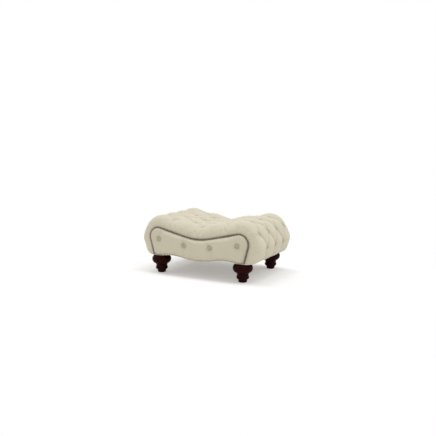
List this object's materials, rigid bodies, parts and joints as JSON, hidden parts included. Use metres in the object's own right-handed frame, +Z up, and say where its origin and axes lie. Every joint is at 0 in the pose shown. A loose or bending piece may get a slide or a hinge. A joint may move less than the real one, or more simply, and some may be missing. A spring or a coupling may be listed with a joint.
{
  "type": "footstool",
  "caption": "Saddle-shaped upholstered footstool with a deep-buttoned cover, padded facings edged with nail heads, and turned bun feet.",
  "frame": {"origin": "on the floor, under the middle of the stool", "axes": "+X along the stool, +Y from its front facing to its back facing, +Z up"},
  "size_m": [1.0216, 0.659, 0.4433],
  "materials": {
    "frame_wood": "bare birch plywood and softwood, sawn",
    "slat_wood": "bare pine, planed",
    "foot_wood": "dark mahogany stain under gloss lacquer",
    "steel": "bright zinc plated",
    "glide": "moulded nylon",
    "foam": "open cell upholstery foam",
    "cover_fabric": "cream woven upholstery cloth over wadding",
    "facing_fabric": "cream woven upholstery cloth over wadding",
    "button_fabric": "cream woven upholstery cloth over a domed button",
    "twine": "waxed buttoning twine",
    "nail_bronze": "antiqued dark bronze, polished on the domes",
    "dust_cloth": "thin black non-woven lining"
  },
  "bodies": {
    "root": {"front_profile_board": "frame_wood", "back_profile_board": "frame_wood", "left_end_rail": "frame_wood", "right_end_rail": "frame_wood", "left_stretcher": "frame_wood", "right_stretcher": "frame_wood", "corner_block_front_left": "frame_wood", "corner_block_front_right": "frame_wood", "corner_block_back_left": "frame_wood", "corner_block_back_right": "frame_wood", "saddle_slats": "slat_wood", "left_end_slats": "slat_wood", "right_end_slats": "slat_wood", "frame_dowels": "slat_wood", "block_screws": "steel", "tee_nuts": "steel", "hanger_bolts": "steel", "foot_front_left": "foot_wood", "foot_front_right": "foot_wood", "foot_back_left": "foot_wood", "foot_back_right": "foot_wood", "foot_glides": "glide", "seat_foam": "foam", "tufted_cover": "cover_fabric", "seat_buttons": "button_fabric", "seat_twines": "twine", "seat_toggles": "slat_wood", "front_facing_board": "frame_wood", "back_facing_board": "frame_wood", "front_facing_pad": "facing_fabric", "back_facing_pad": "facing_fabric", "front_facing_buttons": "button_fabric", "back_facing_buttons": "button_fabric", "facing_twines": "twine", "facing_toggles": "slat_wood", "front_nail_trim": "nail_bronze", "back_nail_trim": "nail_bronze", "dust_cover": "dust_cloth", "dust_cover_staples": "steel"}
  },
  "joints": []
}
